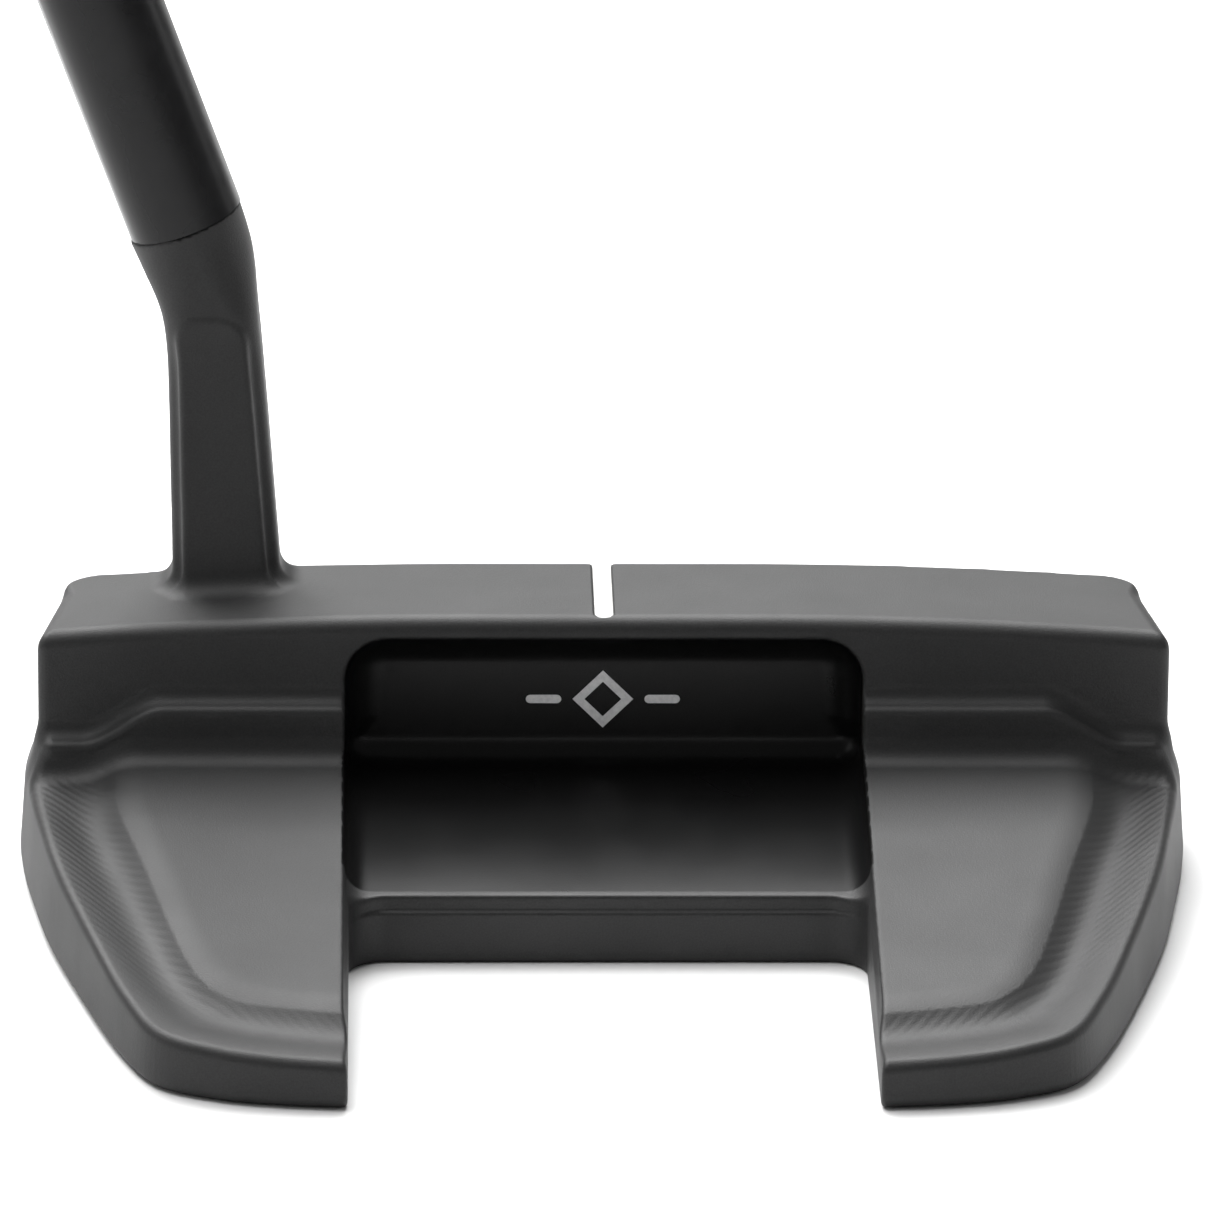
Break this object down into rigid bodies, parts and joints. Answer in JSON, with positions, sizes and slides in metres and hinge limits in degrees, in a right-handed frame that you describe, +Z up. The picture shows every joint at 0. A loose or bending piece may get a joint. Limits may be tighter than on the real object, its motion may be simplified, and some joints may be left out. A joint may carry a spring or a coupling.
{
  "type": "mallet putter",
  "caption": "Right-handed golf putter with a slotted mallet head, a slanted neck, a stepless shaft and a flat-fronted grip, for rolling a ball along the ground.",
  "frame": {"origin": "on the flat sole, under the sight line and 20 mm behind the top edge of the hitting face", "axes": "+Z up, +Y towards the target, +X towards the toe of the head"},
  "size_m": [0.3758, 0.0846, 0.8155],
  "materials": {
    "head_black": "black coating over fine bead-blasted steel, satin",
    "sight_white": "white paint fill, slightly rough",
    "mark_silver": "silver paint fill with fine flake",
    "weight_steel": "turned steel with an oiled thread",
    "washer_nylon": "natural nylon, matt",
    "epoxy": "cured epoxy",
    "shaft_black": "deep gloss black on steel tube",
    "band_print": "satin film",
    "grip_tape": "double-sided paper tape",
    "grip_rubber": "matt moulded rubber with a fine pattern",
    "cap_rubber": "matt moulded rubber"
  },
  "bodies": {
    "club": {"putter_head": "head_black", "sight_line_fill": "sight_white", "cavity_mark_fill": "mark_silver", "hosel_adhesive": "epoxy", "shaft_tube": "shaft_black", "shaft_band": "band_print", "grip_tape": "grip_tape", "grip_sleeve": "grip_rubber", "grip_end_cap": "cap_rubber"},
    "heel_washer": {"heel_weight_washer": "washer_nylon"},
    "heel_weight": {"heel_weight": "weight_steel"},
    "toe_washer": {"toe_weight_washer": "washer_nylon"},
    "toe_weight": {"toe_weight": "weight_steel"}
  },
  "joints": [
    {"name": "heel_weight_back_out", "type": "slide", "parent": "club", "child": "heel_washer", "axis": [0, 0, -1], "range_m": [0, 0.00505]},
    {"name": "heel_weight_turn", "type": "hinge", "parent": "heel_washer", "child": "heel_weight", "pos_m": [-0.034, 0.008, 0], "axis": [0, 0, -1], "range_deg": [0, 1800]},
    {"name": "toe_weight_back_out", "type": "slide", "parent": "club", "child": "toe_washer", "axis": [0, 0, -1], "range_m": [0, 0.00505]},
    {"name": "toe_weight_turn", "type": "hinge", "parent": "toe_washer", "child": "toe_weight", "pos_m": [0.034, 0.008, 0], "axis": [0, 0, -1], "range_deg": [0, 1800]}
  ],
  "couplings": [
    {"joint": "heel_weight_back_out", "follows": "heel_weight_turn", "m_per_rad": 0.00015915},
    {"joint": "toe_weight_back_out", "follows": "toe_weight_turn", "m_per_rad": 0.00015915}
  ]
}
